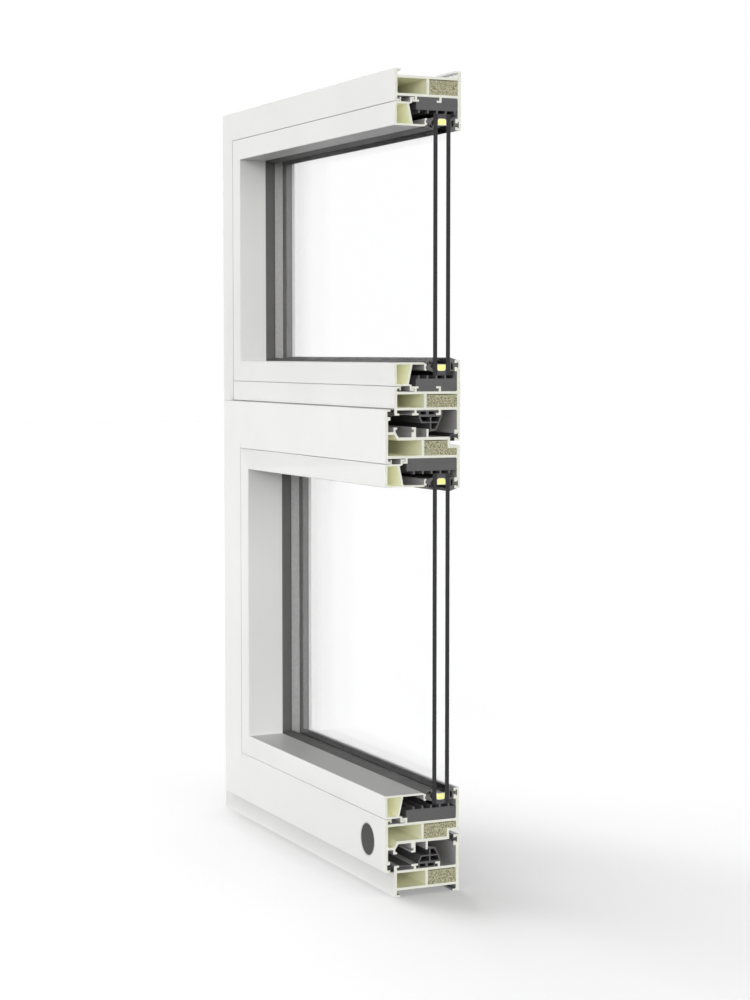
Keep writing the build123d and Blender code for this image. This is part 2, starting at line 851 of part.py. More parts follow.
# Weather-side gaskets and seals. Their feet stop short of the jamb's groove at the transom.
with BuildPart() as fixed_outer_gasket:
    add(ring(outer_gasket_section, fixed_area).part)
    with BuildSketch(side_plane("bottom", fixed_area)):
        bar(jaw_face, frame_depth, 0, upstand)
    extrude(amount=upstand, mode=Mode.SUBTRACT)
save(fixed_outer_gasket, "fixed_outer_gasket")
save(ring(outer_gasket_section, sash_area), "sash_outer_gasket")
with BuildPart() as outer_seal:
    add(ring(outer_seal_section, vent_area).part)
    with BuildSketch(side_plane("side", vent_area)):
        bar(jaw_face, frame_depth, 0, upstand)
    extrude(amount=upstand, mode=Mode.SUBTRACT)
save(outer_seal, "outer_seal")
save(ring(lap_seal_section, sash_edge_area), "lap_seal")

# Centre seal and cover strip, short of the jamb's rails under the transom
for name, draw in (("centre_seal", centre_seal_section), ("groove_cover", cover_section)):
    with BuildPart() as strip:
        add(ring(draw, vent_area).part)
        with BuildSketch(side_plane("side", vent_area)):
            bar(0, frame_depth, 0, lip)
        extrude(amount=lip, mode=Mode.SUBTRACT)
    save(strip, name)

# Setting blocks
for name, draw, side, area in (
    ("head_block", frame_block_section, "top", fixed_area),
    ("transom_block", frame_block_section, "bottom", fixed_area),
    ("sash_top_block", sash_block_section, "top", sash_area),
    ("sash_bottom_block", sash_block_section, "bottom", sash_area),
):
    save(straight_run(draw, side, area, block_start, block_rounded), name)

# Foam fillings
for name, side, area, height, middle in (
    ("head_foam", "top", frame_area, frame_chamber, frame_partition_depth),
    ("sill_foam", "bottom", frame_area, frame_chamber, frame_partition_depth),
    ("transom_foam", "bottom", fixed_area, transom_chamber, transom_partition_depth),
):
    gap_side = "low" if side == "top" else "high"
    filling = straight_run(lambda: frame_foam(height, middle, gap_side), side, area, foam_start)
    save(filling, name)
save(straight_run(lambda: sash_foam("low"), "top", sash_edge_area, foam_start), "sash_top_foam")
save(straight_run(lambda: sash_foam("high"), "bottom", sash_edge_area, foam_start), "sash_bottom_foam")
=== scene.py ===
import math

import bmesh
import bpy
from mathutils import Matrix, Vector


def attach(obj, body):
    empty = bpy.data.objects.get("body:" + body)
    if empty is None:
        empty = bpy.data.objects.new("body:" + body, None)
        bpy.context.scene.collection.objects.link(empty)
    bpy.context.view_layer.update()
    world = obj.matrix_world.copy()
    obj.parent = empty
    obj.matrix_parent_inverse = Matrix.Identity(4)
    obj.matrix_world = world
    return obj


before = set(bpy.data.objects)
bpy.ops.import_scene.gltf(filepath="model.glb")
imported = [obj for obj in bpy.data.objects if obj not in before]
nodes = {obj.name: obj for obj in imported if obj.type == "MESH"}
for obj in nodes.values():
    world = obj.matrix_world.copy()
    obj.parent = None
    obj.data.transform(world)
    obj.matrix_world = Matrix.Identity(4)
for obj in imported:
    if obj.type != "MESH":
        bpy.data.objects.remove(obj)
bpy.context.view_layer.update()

scene = bpy.context.scene

MM_PER_M = 1000.0

# Sizes of the sections, in millimetres, as the solids have them. Depth runs from the frame's
# room-side face towards the weather side, and level from the floor of a rebate into the light.
# An area is given by its left, top and bottom edge.
CUT_X = 241.4
FACE_Y = -31.75
FRAME_DEPTH = 73.5
FRAME_AREA = (-214.5, 805.1, 26.9)
FIXED_AREA = (-214.5, 805.1, 512.2)
SASH_EDGE = (-215.4, 494.5, 26.0)
SASH_AREA = (-166.2, 445.3, 75.2)
TRANSOM_TOP = 512.2
TRANSOM_HEIGHT = 18.6
UPSTAND = 31.5
WEB = 2.6
SASH_FRONT = -10.0
SASH_RAIL = 49.2
SHOULDER = 22.7
FLOOR_LEVEL = 28.1
GROOVE_FLOOR = 3.0
STEP_START = 1.4
STEP_END = 4.9
OUTER_STEP_DEPTH = 62.2
OUTER_STEP_LEVEL = 36.9
LIP = 5.2
BEAD_LEVEL = 5.6
BEAD_INNER = 29.1
BEAD_WALL = 2.0
BEAD_REAR_LOW = 14.9
BEAD_REAR_HIGH = 19.2

# Limits between the finishes and of painted shade, in millimetres. Most lie within a wall,
# where nothing shows.
CUT_SKIN = 0.05
EDGE_SKIN = 0.4
FACE_SKIN = 1.0
BEAD_SKIN = 1.3
ROOM_SKIN = 1.6
WEATHER_SKIN = 71.6
CHAMBER_BACK = 71.7
CHAMBER_FLOOR = -19.1
# Heights of painted shade: beneath the sill, and the line above the sash's lap
SILL_SHADE_HEIGHT = 10.5
LAP_SHADOW_LINE = 0.9
# The joint sizes bound a grey strip of painted shade on a lip's edge beside its bead
JOINT_EDGE = 0.6
JOINT_SPARE = 0.1
JOINT_DEPTH = 2.0
JOINT_DROP = 20.0

# Middle part of a noise's range, over which it has its effect
NOISE_LOW = 0.3
NOISE_HIGH = 0.7
OPENNESS_SAMPLES = 8


class Tree:
    """A node tree, with short calls for the nodes that the materials and the world use."""

    def __init__(self, tree):
        self.tree = tree
        self.tree.nodes.clear()

    def node(self, kind, inputs=None, **settings):
        made = self.tree.nodes.new(kind)
        for key, value in settings.items():
            setattr(made, key, value)
        for key, value in (inputs or {}).items():
            self.put(made.inputs[key], value)
        return made

    def put(self, socket, value):
        if isinstance(value, bpy.types.NodeSocket):
            self.tree.links.new(value, socket)
        else:
            socket.default_value = value

    def math(self, operation, a, b):
        return self.node("ShaderNodeMath", {0: a, 1: b}, operation=operation).outputs[0]

    def plus(self, a, b):
        return self.math("ADD", a, b)

    def minus(self, a, b):
        return self.math("SUBTRACT", a, b)

    def times(self, a, b):
        return self.math("MULTIPLY", a, b)

    def both(self, *masks):
        result = masks[0]
        for mask in masks[1:]:
            result = self.times(result, mask)
        return result

    def either(self, *masks):
        result = masks[0]
        for mask in masks[1:]:
            result = self.math("MAXIMUM", result, mask)
        return result

    def ramp(self, value, low, high, start=0.0, end=1.0, curve="LINEAR"):
        ends = {"From Min": low, "From Max": high, "To Min": start, "To Max": end}
        made = self.node(
            "ShaderNodeMapRange", {"Value": value, **ends}, clamp=True, interpolation_type=curve
        )
        return made.outputs["Result"]

    def blend(self, share, first, second):
        """Two shaders in one, with the second's share."""
        return self.node("ShaderNodeMixShader", {0: share, 1: first, 2: second}).outputs[0]


class Shader(Tree):
    """A material's node tree, with the piece's coordinates in millimetres."""

    def __init__(self, name):
        self.material = bpy.data.materials.new(name)
        self.material.use_nodes = True
        super().__init__(self.material.node_tree)
        self.output = self.node("ShaderNodeOutputMaterial")
        self.place = self.node("ShaderNodeTexCoord").outputs["Object"]
        parts = self.node("ShaderNodeSeparateXYZ", {"Vector": self.place}).outputs
        self.x, self.y, self.z = (self.times(parts[axis], MM_PER_M) for axis in "XYZ")

    def done(self, shader):
        self.put(self.output.inputs["Surface"], shader)
        return self.material

    # Masks

    def above(self, value, limit):
        return self.math("GREATER_THAN", value, limit)

    def below(self, value, limit):
        return self.math("LESS_THAN", value, limit)

    def between(self, value, low, high):
        return self.both(self.above(value, low), self.below(value, high))

    def without(self, mask):
        return self.minus(1.0, mask)

    # Section coordinates

    def depth(self):
        return self.minus(self.y, FACE_Y)

    def level(self, area):
        left, top, bottom = area
        across = self.minus(self.x, left)
        down = self.minus(top, self.z)
        up = self.minus(self.z, bottom)
        return self.math("MINIMUM", across, self.math("MINIMUM", down, up))

    def cut(self):
        return self.above(self.x, CUT_X - CUT_SKIN)

    # Textures

    def noise(self, scale, detail=2.0, roughness=0.5, vector=None):
        inputs = {"Scale": scale, "Detail": detail, "Roughness": roughness}
        inputs["Vector"] = vector or self.place
        return self.node("ShaderNodeTexNoise", inputs).outputs["Fac"]

    def cells(self, scale):
        return self.node("ShaderNodeTexVoronoi", {"Vector": self.place, "Scale": scale}).outputs

    def stretched(self, x=1.0, y=1.0, z=1.0):
        inputs = {"Vector": self.place, "Scale": (x, y, z)}
        return self.node("ShaderNodeMapping", inputs).outputs["Vector"]

    def varied(self, noise, start=0.0, end=1.0):
        """A value that goes from start to end with a noise."""
        return self.ramp(noise, NOISE_LOW, NOISE_HIGH, start, end)

    def openness(self, reach):
        """How open the surface lies: 1 in the open, less beside and beneath what stands near."""
        made = self.node(
            "ShaderNodeAmbientOcclusion", {"Distance": reach}, samples=OPENNESS_SAMPLES
        )
        return made.outputs["AO"]

    def crowded(self, reach, most):
        """The opposite: 0 in the open, and up to the most where nothing is open."""
        return self.ramp(self.openness(reach), 0.0, 1.0, most, 0.0)

    # Colour and surface

    def mix(self, share, a, b):
        made = self.node("ShaderNodeMix", {"Factor": share, "A": a, "B": b}, data_type="RGBA")
        return made.outputs["Result"]

    def tone(self, noise, first, second):
        """A colour that goes from the first to the second with a noise."""
        return self.mix(self.varied(noise), first, second)

    def bump(self, height, distance, strength):
        inputs = {"Height": height, "Distance": distance, "Strength": strength}
        return self.node("ShaderNodeBump", inputs).outputs["Normal"]

    def surface(self, colour, roughness, normal=None, **sockets):
        inputs = {"Base Color": colour, "Roughness": roughness}
        if normal is not None:
            inputs["Normal"] = normal
        for key, value in sockets.items():
            inputs[key.replace("_", " ")] = value
        return self.node("ShaderNodeBsdfPrincipled", inputs).outputs["BSDF"]


def srgb(red, green, blue):
    """A colour given by its 0 to 255 display values."""

    def linear(value):
        value /= 255
        return value / 12.92 if value <= 0.04045 else ((value + 0.055) / 1.055) ** 2.4

    return (linear(red), linear(green), linear(blue), 1.0)


# Profiles: each finish with its second shade
WHITE, WHITE_SHADE = srgb(236, 236, 234), srgb(230, 230, 228)
BARE, BARE_SHADE = srgb(248, 249, 237), srgb(243, 244, 230)
RAW, RAW_SHADE = srgb(240, 240, 214), srgb(231, 231, 203)
REBATE, REBATE_SHADE = srgb(196, 194, 195), srgb(182, 180, 182)
# Painted shade colours: a grey for the sill's underside and the line above the sash, a dark one
# beneath the lap and near the floor's object
PAINTED_SHADE_GREY = srgb(120, 118, 120)
PAINTED_SHADE = srgb(60, 60, 60)
INNER_ROUGH = 0.55
CUT_ROUGH = 0.6
# Painted light, a glow that stands in for light reaching into the hollows and rebates: its colour,
# how far it reaches from the cut in millimetres, by how much it falls on the way, and how much of
# it the rebates get
PAINTED_GLOW_COLOUR = srgb(226, 227, 202)
PAINTED_GLOW_REACH = 60.0
PAINTED_GLOW_FALL = 8
REBATE_PAINTED_GLOW = 0.012
FRAME_PAINTED_GLOW = 0.07
SASH_PAINTED_GLOW = 0.09
BEAD_PAINTED_GLOW = 0.18
# Shade beneath the lap of the sash: its reach in metres, how deep it gets, and the heights in
# millimetres over which it fades towards the floor
LAP_REACH = 0.03
LAP_SHADE = 0.75
LAP_FADE_LOW = 2.0
LAP_FADE_HIGH = 20.0


def profile_material(name, masks, painted_glow, lapped=False):
    """Coated profile: white outside, grey in its rebates, bare where cut and in its hollows.

    The cream walls are thin. The hollows and rebates get painted light, a glow that stands in for
    the light reaching into them.
    """
    s = Shader(name)
    hollow, rebate, dark = masks(s)
    cut = s.cut()
    hollow = s.both(hollow, s.without(cut))
    rebate = s.both(rebate, s.without(cut))
    # Slow drift of the white, speckle of the grey, run marks in the hollows, saw marks of the cut
    drift = s.noise(scale=7.0, detail=3.0)
    speckle = s.noise(scale=900.0)
    run_marks = s.noise(scale=60.0, detail=3.0, vector=s.stretched(x=0.12))
    saw = s.noise(scale=420.0, detail=3.0, vector=s.stretched(y=0.12, z=1.6))
    white = s.tone(drift, WHITE, WHITE_SHADE)
    grey = s.tone(speckle, REBATE, REBATE_SHADE)
    raw = s.mix(s.ramp(run_marks, low=0.35, high=0.65), RAW, RAW_SHADE)
    bare = s.tone(saw, BARE, BARE_SHADE)
    # Painted shade: the face darkens beneath the sash's lap, by an occlusion node, fading near the
    # floor
    if lapped:
        on_face = s.below(s.depth(), FACE_SKIN)
        under_lap = s.crowded(LAP_REACH, most=LAP_SHADE)
        off_floor = s.ramp(s.z, LAP_FADE_LOW, LAP_FADE_HIGH)
        white = s.mix(s.both(on_face, under_lap, off_floor), white, PAINTED_SHADE)
    # Painted shade: the masked parts of the white turn a dark grey
    if dark is not None:
        white = s.mix(dark, white, PAINTED_SHADE_GREY)
    colour = s.mix(rebate, white, grey)
    colour = s.mix(hollow, colour, raw)
    colour = s.mix(cut, colour, bare)
    # Orange peel of the coat, saw lines of the cut
    peel = s.noise(scale=520.0)
    relief = s.plus(s.times(peel, s.without(cut)), s.times(saw, cut))
    normal = s.bump(relief, distance=0.00006, strength=0.35)
    rough = s.varied(s.noise(scale=160.0, detail=3.0), start=0.42, end=0.5)
    rough = s.either(rough, s.times(s.either(hollow, rebate), INNER_ROUGH))
    rough = s.either(rough, s.times(cut, CUT_ROUGH))
    # Painted light: the hollows glow, most near the cut, and the rebates glow faintly
    near_cut = s.ramp(s.x, CUT_X - PAINTED_GLOW_REACH, CUT_X, start=painted_glow / PAINTED_GLOW_FALL, end=painted_glow)
    glow = s.plus(s.times(hollow, near_cut), s.times(rebate, REBATE_PAINTED_GLOW))
    return s.done(s.surface(colour, rough, normal, Emission_Color=PAINTED_GLOW_COLOUR, Emission_Strength=glow))


# Each of these gives the masks of a profile's hollows, of its rebates, and of painted shade on its
# white, or None. The rebates' mask also holds the painted shade of a joint gap, where there is one


def upright_joint_shade(s, area, depth, face):
    """Painted shade of the joint gap between an upright profile and the bead clipped to it: a grey
    strip on the profile's lip.
    """
    across = s.minus(s.x, area[0])
    beside_lip = s.between(across, LIP - JOINT_EDGE, LIP + JOINT_SPARE)
    return s.both(beside_lip, s.below(depth, face + JOINT_DEPTH))


def frame_masks(s):
    depth, level = s.depth(), s.level(FRAME_AREA)
    chamber = s.between(level, CHAMBER_FLOOR, -WEB / 2)
    hollow = s.both(chamber, s.between(depth, ROOM_SKIN, CHAMBER_BACK))
    inside = s.between(depth, ROOM_SKIN, WEATHER_SKIN)
    rebate = s.both(s.above(level, -WEB / 2), inside, s.below(level, UPSTAND - EDGE_SKIN))
    # Painted shade of the joint gap beside the fixed light
    beside_fixed = s.between(s.z, FIXED_AREA[2] - JOINT_DROP, FIXED_AREA[1])
    joint_shade = s.both(upright_joint_shade(s, FRAME_AREA, depth, 0.0), beside_fixed)
    # Painted shade: the sill's underside between its legs is darkened to grey
    under_sill_shade = s.both(inside, s.below(s.z, SILL_SHADE_HEIGHT))
    return hollow, s.either(rebate, joint_shade), under_sill_shade


def transom_masks(s):
    depth = s.depth()
    middle = TRANSOM_TOP - TRANSOM_HEIGHT / 2
    from_middle = s.math("ABSOLUTE", s.minus(s.z, middle), 0.0)
    level = s.minus(from_middle, TRANSOM_HEIGHT / 2)
    inside = s.between(depth, ROOM_SKIN, WEATHER_SKIN)
    hollow = s.both(s.below(level, -WEB / 2), inside)
    rebate = s.both(s.above(level, -WEB / 2), inside, s.below(level, UPSTAND - EDGE_SKIN))
    # Painted shadow: a thin dark line on the transom's face just above the sash's lap
    over_sash_shadow = s.between(s.z, SASH_EDGE[1], SASH_EDGE[1] + LAP_SHADOW_LINE)
    return hollow, rebate, s.both(s.below(depth, FACE_SKIN), over_sash_shadow)


def sash_masks(s):
    depth, level = s.depth(), s.level(SASH_EDGE)
    shoulder, groove_floor = SHOULDER + WEB / 2, FLOOR_LEVEL + GROOVE_FLOOR / 2
    bottom = s.ramp(depth, STEP_START, STEP_END, start=shoulder, end=groove_floor)
    top = SASH_RAIL - WEB / 2
    past_step = s.above(depth, OUTER_STEP_DEPTH - WEB / 2)
    in_step = s.both(past_step, s.below(level, OUTER_STEP_LEVEL + WEB / 2))
    inside = s.between(depth, SASH_FRONT + ROOM_SKIN, WEATHER_SKIN)
    hollow = s.both(s.above(level, bottom), s.below(level, top), inside, s.without(in_step))
    glazing = s.both(s.above(level, top), inside, s.below(level, SASH_RAIL + UPSTAND - EDGE_SKIN))
    off_edge = s.above(level, EDGE_SKIN)
    hardware = s.both(s.below(level, bottom), inside, s.without(in_step), off_edge)
    # Painted shade of the joint gap beside the sash's light
    beside_light = s.between(s.z, SASH_AREA[2], SASH_AREA[1])
    joint_shade = s.both(upright_joint_shade(s, SASH_AREA, depth, SASH_FRONT), beside_light)
    return hollow, s.either(glazing, hardware, joint_shade), None


def bead_masks(area, face):
    def masks(s):
        depth, level = s.minus(s.depth(), face), s.level(area)
        low, high = BEAD_LEVEL + BEAD_WALL, BEAD_INNER - BEAD_WALL
        rear = s.ramp(level, low, high, start=BEAD_REAR_LOW, end=BEAD_REAR_HIGH)
        inside = s.between(level, BEAD_LEVEL + BEAD_WALL / 2, BEAD_INNER - BEAD_WALL / 2)
        behind_face = s.above(depth, BEAD_SKIN)
        hollow = s.both(behind_face, s.below(depth, rear), inside)
        rebate = s.both(behind_face, s.below(level, BEAD_INNER - EDGE_SKIN), s.without(hollow))
        return hollow, rebate, None

    return masks


# Narrow hollows and corners of the rubber keep little light: their reach in metres, and how deep
# the shade gets
RUBBER_REACH = 0.004
RUBBER_DEEP = 0.9
RUBBER_PAINTED_SHADE = srgb(18, 18, 19)
LINES_SHARE = 0.8


def rubber_material(name, dark, pale, sawn):
    """Extruded rubber: matt, with fine lines along the run, a dusty bloom and a sawn end."""
    s = Shader(name)
    bloom = s.noise(scale=45.0, detail=4.0, roughness=0.6)
    grain = s.noise(scale=1500.0)
    lines = s.noise(scale=700.0, vector=s.stretched(x=0.03))
    colour = s.mix(s.ramp(bloom, low=0.3, high=0.75), dark, pale)
    # Painted shade in narrow hollows and corners, by an occlusion node
    colour = s.mix(s.crowded(RUBBER_REACH, most=RUBBER_DEEP), colour, RUBBER_PAINTED_SHADE)
    colour = s.mix(s.cut(), colour, sawn)
    relief = s.plus(grain, s.times(lines, LINES_SHARE))
    normal = s.bump(relief, distance=0.00008, strength=0.4)
    return s.done(s.surface(colour, s.varied(bloom, start=0.5, end=0.68), normal))


BLOCK, BLOCK_SHADE = srgb(91, 90, 90), srgb(87, 86, 86)
BLOCK_SAWN = srgb(94, 93, 93)


def block_material():
    """Moulded grey plastic of the setting blocks."""
    s = Shader("block_plastic")
    flow = s.noise(scale=25.0, detail=4.0, vector=s.stretched(x=0.3))
    grain = s.noise(scale=1100.0, detail=3.0)
    saw = s.noise(scale=900.0, detail=3.0, vector=s.stretched(y=0.5, z=1.2))
    cut = s.cut()
    colour = s.tone(flow, BLOCK, BLOCK_SHADE)
    colour = s.mix(s.times(s.ramp(saw, low=0.4, high=0.7), cut), colour, BLOCK_SAWN)
    normal = s.bump(s.plus(grain, s.times(saw, cut)), distance=0.0001, strength=0.4)
    return s.done(s.surface(colour, s.varied(flow, start=0.45, end=0.6), normal))


FOAM_DARK, FOAM_PALE = srgb(162, 160, 124), srgb(228, 225, 194)
FOAM_PATCH = srgb(198, 195, 156)
FOAM_PIT_SHADE = srgb(92, 90, 62)
PIT_SHADE_SHARE = 0.8
PIT_RELIEF = 1.4


def foam_material():
    """Granular khaki foam."""
    s = Shader("foam_grains")
    grains = s.cells(scale=760.0)
    shade = s.node("ShaderNodeSeparateColor", {"Color": grains["Color"]}).outputs["Red"]
    fine = s.noise(scale=1400.0, detail=3.0, roughness=0.6)
    patch = s.noise(scale=300.0, detail=3.0, roughness=0.6)
    colour = s.mix(s.ramp(shade, low=0.1, high=0.9), FOAM_DARK, FOAM_PALE)
    colour = s.mix(s.ramp(patch, low=0.35, high=0.7, end=0.4), colour, FOAM_PATCH)
    # Painted shade: the colour darkens in the pits between the grains
    pit_shade = s.ramp(grains["Distance"], low=0.4, high=0.8)
    colour = s.mix(s.times(pit_shade, PIT_SHADE_SHARE), colour, FOAM_PIT_SHADE)
    relief = s.minus(fine, s.times(grains["Distance"], PIT_RELIEF))
    normal = s.bump(relief, distance=0.0005, strength=0.7)
    return s.done(s.surface(colour, s.varied(fine, start=0.8, end=0.95), normal))


PANE_TINT = (0.998, 0.998, 1.0, 1.0)
PANE_SHADOW = (0.98, 0.98, 0.985, 1.0)
PANE_EDGE, PANE_EDGE_SHADE = srgb(32, 32, 33), srgb(43, 42, 45)


def glass_material():
    """Clear float glass that lets soft light and shadows pass, with a ground, dark cut edge."""
    s = Shader("clear_glass")
    clear = s.surface(PANE_TINT, 0.0, IOR=1.25, Transmission_Weight=1.0)
    through = s.node("ShaderNodeBsdfTransparent", {"Color": PANE_SHADOW}).outputs[0]
    path = s.node("ShaderNodeLightPath").outputs
    pane = s.blend(s.either(path["Is Shadow Ray"], path["Is Diffuse Ray"]), clear, through)
    ground = s.noise(scale=800.0, detail=3.0, vector=s.stretched(z=0.2))
    colour = s.tone(ground, PANE_EDGE, PANE_EDGE_SHADE)
    rough = s.varied(ground, start=0.35, end=0.5)
    normal = s.bump(ground, distance=0.0001, strength=0.3)
    edge = s.surface(colour, rough, normal, Specular_IOR_Level=0.3)
    return s.done(s.blend(s.cut(), pane, edge))


SPACER, SPACER_SHADE = srgb(202, 201, 199), srgb(188, 187, 185)


def spacer_material():
    """Thin aluminium of the spacer tube."""
    s = Shader("spacer_metal")
    lines = s.noise(scale=300.0, detail=3.0, vector=s.stretched(x=0.02))
    colour = s.tone(lines, SPACER, SPACER_SHADE)
    rough = s.varied(lines, start=0.38, end=0.52)
    normal = s.bump(lines, distance=0.00005, strength=0.4)
    return s.done(s.surface(colour, rough, normal, Metallic=0.35))


SIEVE, SIEVE_SHADE = srgb(255, 255, 176), srgb(252, 250, 148)
SIEVE_LOW = 0.2
SIEVE_HIGH = 0.8


def desiccant_material():
    """Pale yellow molecular sieve beads, with painted shade between the beads and a painted glow.
    """
    s = Shader("desiccant_beads")
    distance = s.cells(scale=900.0)["Distance"]
    # Painted shade: the colour turns darker and yellower towards each bead's edge
    colour = s.mix(s.ramp(distance, SIEVE_LOW, SIEVE_HIGH), SIEVE, SIEVE_SHADE)
    normal = s.bump(s.without(distance), distance=0.0004, strength=0.5)
    rough = s.ramp(distance, SIEVE_LOW, SIEVE_HIGH, start=0.55, end=0.75)
    # Painted light: the beads glow a little in their own colour
    return s.done(s.surface(colour, rough, normal, Emission_Color=colour, Emission_Strength=0.16))


def paint(material, *names):
    for name in names:
        slots = nodes[name].data.materials
        slots.clear()
        slots.append(material)


profile_frame = profile_material("frame_profile", frame_masks, FRAME_PAINTED_GLOW, lapped=True)
profile_transom = profile_material("transom_profile", transom_masks, FRAME_PAINTED_GLOW)
profile_sash = profile_material("sash_profile", sash_masks, SASH_PAINTED_GLOW)
profile_fixed_bead = profile_material(
    "fixed_bead_profile", bead_masks(FIXED_AREA, 0.0), BEAD_PAINTED_GLOW
)
profile_sash_bead = profile_material(
    "sash_bead_profile", bead_masks(SASH_AREA, SASH_FRONT), BEAD_PAINTED_GLOW
)
gasket_rubber = rubber_material(
    "gasket_rubber", dark=srgb(84, 83, 82), pale=srgb(95, 94, 93), sawn=srgb(98, 97, 96)
)
seal_rubber = rubber_material(
    "seal_rubber", dark=srgb(76, 76, 77), pale=srgb(90, 90, 90), sawn=srgb(94, 93, 94)
)
dark_rubber = rubber_material(
    "dark_rubber", dark=srgb(50, 49, 48), pale=srgb(60, 59, 58), sawn=srgb(66, 65, 64)
)
sealant = rubber_material(
    "edge_sealant", dark=srgb(52, 51, 56), pale=srgb(62, 61, 66), sawn=srgb(70, 69, 73)
)
cover_plastic = rubber_material(
    "cover_plastic", dark=srgb(96, 95, 96), pale=srgb(108, 107, 107), sawn=srgb(102, 101, 101)
)
glass = glass_material()

paint(profile_frame, "frame_head", "frame_jamb", "frame_sill")
paint(profile_transom, "transom")
paint(profile_sash, "sash_top_rail", "sash_stile", "sash_bottom_rail")
paint(profile_fixed_bead, "fixed_bead_top", "fixed_bead_side", "fixed_bead_bottom")
paint(profile_sash_bead, "sash_bead_top", "sash_bead_side", "sash_bead_bottom")
paint(glass, "fixed_inner_pane", "fixed_outer_pane", "sash_inner_pane", "sash_outer_pane")
paint(gasket_rubber, "fixed_inner_gasket", "fixed_outer_gasket")
paint(gasket_rubber, "sash_inner_gasket", "sash_outer_gasket")
paint(seal_rubber, "centre_seal")
paint(dark_rubber, "outer_seal", "lap_seal")
paint(cover_plastic, "groove_cover")
paint(sealant, "fixed_edge_seal", "sash_edge_seal")
paint(spacer_material(), "fixed_spacer", "sash_spacer")
paint(desiccant_material(), "fixed_desiccant", "sash_desiccant")
paint(block_material(), "head_block", "transom_block", "sash_top_block", "sash_bottom_block")
paint(
    foam_material(),
    "head_foam",
    "sill_foam",
    "transom_foam",
    "sash_top_foam",
    "sash_bottom_foam",
)

# Blank badge in its seat on the lower rail of the sash: a domed disc in a raised rim. Its outlines
# are radii with depths behind the rail's face, in millimetres.
BADGE_CENTRE = (198.3, 52.0)
BADGE_FRONT = FACE_Y + SASH_FRONT
BADGE_SEAT = 0.48
BADGE_STEPS = 96
FIELD_OUTLINE = (
    (0.4, 0.10),
    (6.0, 0.105),
    (11.0, 0.125),
    (15.0, 0.16),
    (16.3, 0.20),
    (16.3, BADGE_SEAT),
    (0.4, BADGE_SEAT),
)
RIM_OUTLINE = (
    (16.35, BADGE_SEAT),
    (16.35, 0.12),
    (16.55, 0.04),
    (16.85, 0.01),
    (17.2, 0.01),
    (17.5, 0.06),
    (17.65, 0.18),
    (17.65, BADGE_SEAT),
)
FIELD, FIELD_SHADE = srgb(54, 54, 52), srgb(64, 64, 62)
RIM, RIM_SHADE = srgb(212, 212, 211), srgb(204, 204, 203)


def turned(name, outline, ring=False):
    """A piece turned about the badge's axis from its outline: a disc, or a closed ring."""
    vertices, faces = [], []
    for radius, depth in outline:
        for step in range(BADGE_STEPS):
            angle = 2 * math.pi * step / BADGE_STEPS
            x = BADGE_CENTRE[0] + radius * math.cos(angle)
            z = BADGE_CENTRE[1] + radius * math.sin(angle)
            vertices.append((x / MM_PER_M, (BADGE_FRONT + depth) / MM_PER_M, z / MM_PER_M))
    rows = len(outline)
    for row in range(rows if ring else rows - 1):
        for step in range(BADGE_STEPS):
            following = (step + 1) % BADGE_STEPS
            low, high = row * BADGE_STEPS, (row + 1) % rows * BADGE_STEPS
            faces.append((low + step, low + following, high + following, high + step))
    if not ring:
        faces.append(tuple(range(BADGE_STEPS)))
        faces.append(tuple(range((rows - 1) * BADGE_STEPS, rows * BADGE_STEPS)))
    mesh = bpy.data.meshes.new(name)
    mesh.from_pydata(vertices, [], faces)
    build = bmesh.new()
    build.from_mesh(mesh)
    bmesh.ops.recalc_face_normals(build, faces=build.faces)
    build.to_mesh(mesh)
    build.free()
    piece = bpy.data.objects.new(name, mesh)
    scene.collection.objects.link(piece)
    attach(piece, "root")
    return piece


def enamel_material(name, first, second):
    """Brushed badge enamel with a soft sheen."""
    s = Shader(name)
    brushed = s.noise(scale=900.0, detail=3.0, vector=s.stretched(x=0.08))
    colour = s.tone(brushed, first, second)
    rough = s.varied(brushed, start=0.34, end=0.46)
    normal = s.bump(brushed, distance=0.00004, strength=0.3)
    return s.done(s.surface(colour, rough, normal, Specular_IOR_Level=0.15))


badge_field = turned("badge_field", FIELD_OUTLINE)
badge_field.data.materials.append(enamel_material("badge_dark", FIELD, FIELD_SHADE))
badge_rim = turned("badge_rim", RIM_OUTLINE, ring=True)
badge_rim.data.materials.append(enamel_material("badge_white", RIM, RIM_SHADE))

# Floor: half its side and the reach of the object's contact shade in metres, how deep that shade
# gets, and a glow that brings the open floor to white
FLOOR_HALF = 14.0
FLOOR_REACH = 0.3
FLOOR_NEAR = 0.75
FLOOR_GLOW = 0.30
FLOOR_ROUGH = 0.9
FLOOR_PALE = (0.88, 0.88, 0.88, 1.0)
FLOOR_SHADE = (0.86, 0.86, 0.86, 1.0)
FULL_WHITE = (1.0, 1.0, 1.0, 1.0)

corners = ((-1, -1), (1, -1), (1, 1), (-1, 1))
floor_mesh = bpy.data.meshes.new("floor")
floor_mesh.from_pydata(
    [(FLOOR_HALF * x, FLOOR_HALF * y, 0) for x, y in corners], [], [tuple(range(len(corners)))]
)
floor = bpy.data.objects.new("floor", floor_mesh)
scene.collection.objects.link(floor)


